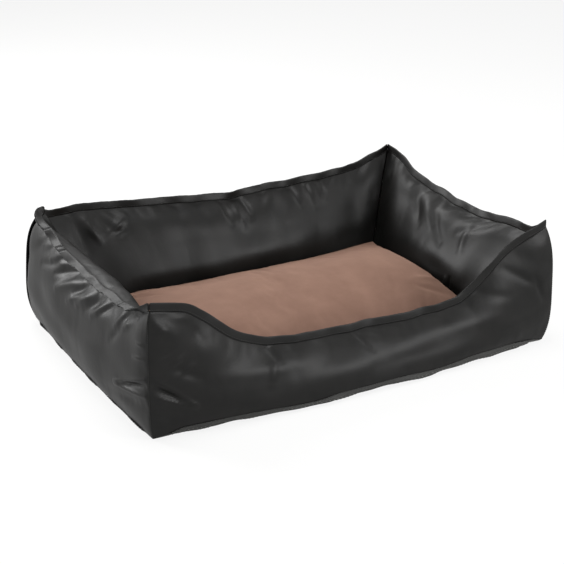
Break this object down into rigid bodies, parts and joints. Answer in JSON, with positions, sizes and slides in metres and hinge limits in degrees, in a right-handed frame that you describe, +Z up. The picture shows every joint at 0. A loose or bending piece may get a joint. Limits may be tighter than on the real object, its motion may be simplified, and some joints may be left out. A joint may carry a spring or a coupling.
{
  "type": "dog sofa bed",
  "caption": "Rectangular dog sofa bed with four stuffed walls, a low S-curved front entrance, hemmed rims, a padded floor and a loose zipped cushion.",
  "frame": {"origin": "middle of the underside, on the surface the bed stands on", "axes": "+X along the length to the right, -Y towards the low front entrance, +Z up"},
  "size_m": [0.9006, 0.6508, 0.254],
  "materials": {
    "oxford_polyester": "satin",
    "anti_slip_fabric": "matte",
    "brushed_polyester": "matte",
    "fibre_wadding": "matte",
    "zip_tape": "matte",
    "zip_resin": "satin",
    "zip_metal": "satin"
  },
  "bodies": {
    "bed": {"left_outer_panel": "oxford_polyester", "left_inner_panel": "oxford_polyester", "left_fill": "fibre_wadding", "right_outer_panel": "oxford_polyester", "right_inner_panel": "oxford_polyester", "right_fill": "fibre_wadding", "rear_outer_panel": "oxford_polyester", "rear_inner_panel": "oxford_polyester", "rear_fill": "fibre_wadding", "front_outer_panel": "oxford_polyester", "front_inner_panel": "oxford_polyester", "front_fill": "fibre_wadding", "base_panel": "anti_slip_fabric", "floor_pad": "fibre_wadding", "floor_panel": "oxford_polyester"},
    "cushion": {"cushion_top_panel": "brushed_polyester", "cushion_bottom_panel": "brushed_polyester", "cushion_fill": "fibre_wadding", "zip_upper_tape": "zip_tape", "zip_lower_tape": "zip_tape", "zip_upper_teeth": "zip_resin", "zip_lower_teeth": "zip_resin", "zip_top_stops": "zip_metal", "zip_bottom_stop": "zip_metal"},
    "zip_slider": {"zip_slider": "zip_metal"},
    "zip_pull": {"zip_pull": "zip_metal"}
  },
  "joints": [
    {"name": "cushion_lift", "type": "slide", "parent": "bed", "child": "cushion", "axis": [0, 0, 1], "range_m": [0, 0.27]},
    {"name": "zip_travel", "type": "slide", "parent": "cushion", "child": "zip_slider", "axis": [-1, 0, 0], "range_m": [0, 0.258], "deforming": ["zip_upper_teeth", "zip_lower_teeth"]},
    {"name": "pull_swing", "type": "hinge", "parent": "zip_slider", "child": "zip_pull", "pos_m": [0.1314, 0.15372, 0.03897], "axis": [0, -0.7157, -0.6984], "range_deg": [-80, 80]}
  ]
}
